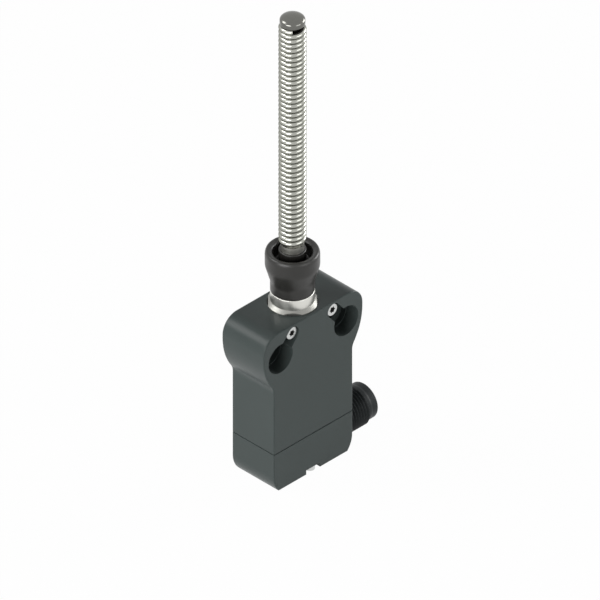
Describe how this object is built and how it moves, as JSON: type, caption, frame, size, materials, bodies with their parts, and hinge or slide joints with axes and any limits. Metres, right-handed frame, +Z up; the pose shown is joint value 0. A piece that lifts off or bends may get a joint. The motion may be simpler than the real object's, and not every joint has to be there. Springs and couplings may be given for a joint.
{
  "type": "spring rod limit switch",
  "caption": "Small metal-cased limit switch with an upright coil spring rod in a rubber boot, worked from any side, with fixing ears and a side plug connector.",
  "frame": {"origin": "midway between the two fixing holes, on the flat back face", "axes": "+Z up along the rod, +X towards the plug connector, +Y out of the back face towards the machine"},
  "size_m": [0.0463, 0.016, 0.1466],
  "materials": {
    "body_paint": "satin dark green-grey",
    "rubber_black": "satin",
    "seal_rubber": "matte",
    "nickel": "satin nickel plate",
    "spring_steel": "bright drawn wire",
    "tip_steel": "polished",
    "stem_steel": "dull",
    "screw_steel": "satin",
    "connector_black": "satin",
    "insert_black": "matte",
    "gold_pins": "gold plate",
    "bush_plastic": "natural",
    "case_plastic": "moulded",
    "lid_plastic": "moulded",
    "contact_brass": "bright"
  },
  "bodies": {
    "housing": {"housing": "body_paint", "foot": "body_paint", "foot_gasket": "seal_rubber", "foot_screws": "screw_steel", "lock_screws": "screw_steel", "collar": "nickel", "collar_o_ring": "seal_rubber", "retaining_clip": "spring_steel", "plunger_guide": "bush_plastic", "plunger_seal": "seal_rubber", "return_spring": "spring_steel", "contact_block": "case_plastic", "contact_block_lid": "lid_plastic", "closed_contacts": "contact_brass", "open_contacts": "contact_brass", "connector_shell": "connector_black", "connector_o_ring": "seal_rubber", "connector_insert": "insert_black", "connector_pins": "gold_pins"},
    "swivel": {"swivel_ring": "bush_plastic", "pivot_pin": "screw_steel", "boot": "rubber_black"},
    "stem": {"stem": "stem_steel"},
    "rod": {"coil_rod": "spring_steel", "tip_cap": "tip_steel"},
    "plunger": {"plunger": "bush_plastic", "contact_carrier": "lid_plastic", "contact_bridge": "contact_brass", "contact_spring": "spring_steel"}
  },
  "joints": [
    {"name": "rod_direction", "type": "hinge", "parent": "housing", "child": "swivel", "pos_m": [0, -0.008, 0.0096], "axis": [0, 0, 1], "continuous": true},
    {"name": "rod_tilt", "type": "hinge", "parent": "swivel", "child": "stem", "pos_m": [0, -0.008, 0.0096], "axis": [0, 1, 0], "range_deg": [0, 15], "stiffness_Nm_per_rad": 0.3, "deforming": ["boot"]},
    {"name": "rod_flex", "type": "hinge", "parent": "stem", "child": "rod", "pos_m": [0, -0.008, 0.0316], "axis": [0, 1, 0], "range_deg": [0, 45], "stiffness_Nm_per_rad": 0.15, "deforming": ["coil_rod"]},
    {"name": "plunger_slide", "type": "slide", "parent": "housing", "child": "plunger", "axis": [0, 0, 1], "range_m": [-0.00105, 0], "deforming": ["return_spring"]}
  ],
  "couplings": [
    {"joint": "plunger_slide", "follows": "rod_tilt", "m_per_rad": -0.0039}
  ]
}
